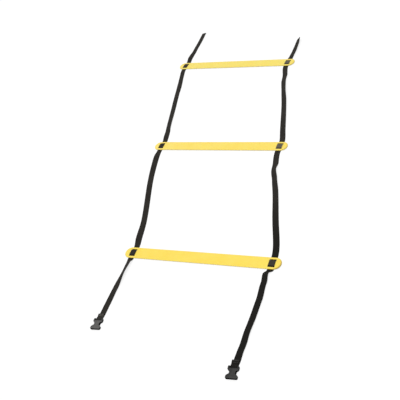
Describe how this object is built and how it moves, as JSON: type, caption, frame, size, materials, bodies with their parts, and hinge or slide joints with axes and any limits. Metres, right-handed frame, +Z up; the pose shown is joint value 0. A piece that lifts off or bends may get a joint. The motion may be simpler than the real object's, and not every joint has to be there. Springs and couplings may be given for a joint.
{
  "type": "agility ladder section",
  "caption": "Flat speed-ladder section: slotted plastic slats woven on webbing straps, with side-release buckle sockets at one end and bare strap ends at the other.",
  "frame": {"origin": "middle of the laid-out section's footprint, on the floor", "axes": "+Y along the ladder from the buckle end to the free strap ends, +X along the middle slat, +Z up from the floor"},
  "size_m": [0.7642, 1.5634, 0.0133],
  "materials": {
    "rung_plastic": "smooth moulded plastic with a soft sheen",
    "webbing": "twill-woven polypropylene webbing",
    "buckle_plastic": "moulded acetal, satin",
    "thread": "bonded sewing thread"
  },
  "bodies": {
    "middle_straps": {"strap_left_near_bay_by_middle_rung": "webbing", "strap_left_far_bay_by_middle_rung": "webbing", "strap_right_near_bay_by_middle_rung": "webbing", "strap_right_far_bay_by_middle_rung": "webbing"},
    "near_straps": {"strap_left_near_bay_by_near_rung": "webbing", "strap_left_buckle_tail": "webbing", "strap_right_near_bay_by_near_rung": "webbing", "strap_right_buckle_tail": "webbing", "stitching_left": "thread", "stitching_right": "thread"},
    "far_straps": {"strap_left_far_bay_by_far_rung": "webbing", "strap_left_free_tail": "webbing", "strap_right_far_bay_by_far_rung": "webbing", "strap_right_free_tail": "webbing"},
    "near_rung": {"rung_near": "rung_plastic", "strap_left_through_near_rung": "webbing", "strap_right_through_near_rung": "webbing"},
    "middle_rung": {"rung_middle": "rung_plastic", "strap_left_through_middle_rung": "webbing", "strap_right_through_middle_rung": "webbing"},
    "far_rung": {"rung_far": "rung_plastic", "strap_left_through_far_rung": "webbing", "strap_right_through_far_rung": "webbing"},
    "left_buckle": {"buckle_left": "buckle_plastic"},
    "right_buckle": {"buckle_right": "buckle_plastic"}
  },
  "joints": [
    {"name": "near_fold", "type": "hinge", "parent": "middle_straps", "child": "near_straps", "pos_m": [-0.0062, -0.19171, 0.01], "axis": [-1, 0, 0], "range_deg": [0, 179]},
    {"name": "far_fold", "type": "hinge", "parent": "middle_straps", "child": "far_straps", "pos_m": [-0.0062, 0.28799, 0.018], "axis": [1, 0, 0], "range_deg": [0, 179]},
    {"name": "near_rung_slide", "type": "slide", "parent": "near_straps", "child": "near_rung", "axis": [-0.0297, 0.9996, 0], "range_m": [-0.12, 0.12], "deforming": ["strap_left_near_bay_by_near_rung", "strap_left_buckle_tail", "strap_right_near_bay_by_near_rung", "strap_right_buckle_tail"]},
    {"name": "middle_rung_slide", "type": "slide", "parent": "middle_straps", "child": "middle_rung", "axis": [0, 1, 0], "range_m": [-0.12, 0.12], "deforming": ["strap_left_near_bay_by_middle_rung", "strap_left_far_bay_by_middle_rung", "strap_right_near_bay_by_middle_rung", "strap_right_far_bay_by_middle_rung"]},
    {"name": "far_rung_slide", "type": "slide", "parent": "far_straps", "child": "far_rung", "axis": [0.0489, 0.9988, 0], "range_m": [-0.12, 0.08], "deforming": ["strap_left_far_bay_by_far_rung", "strap_left_free_tail", "strap_right_far_bay_by_far_rung", "strap_right_free_tail"]},
    {"name": "left_buckle_swing", "type": "hinge", "parent": "near_straps", "child": "left_buckle", "pos_m": [-0.1009, -0.68509, 0.00325], "axis": [-0.9925, -0.1219, 0], "range_deg": [-90, 110]},
    {"name": "right_buckle_swing", "type": "hinge", "parent": "near_straps", "child": "right_buckle", "pos_m": [0.3586, -0.74772, 0.00325], "axis": [-0.9925, -0.1219, 0], "range_deg": [-90, 110]}
  ]
}
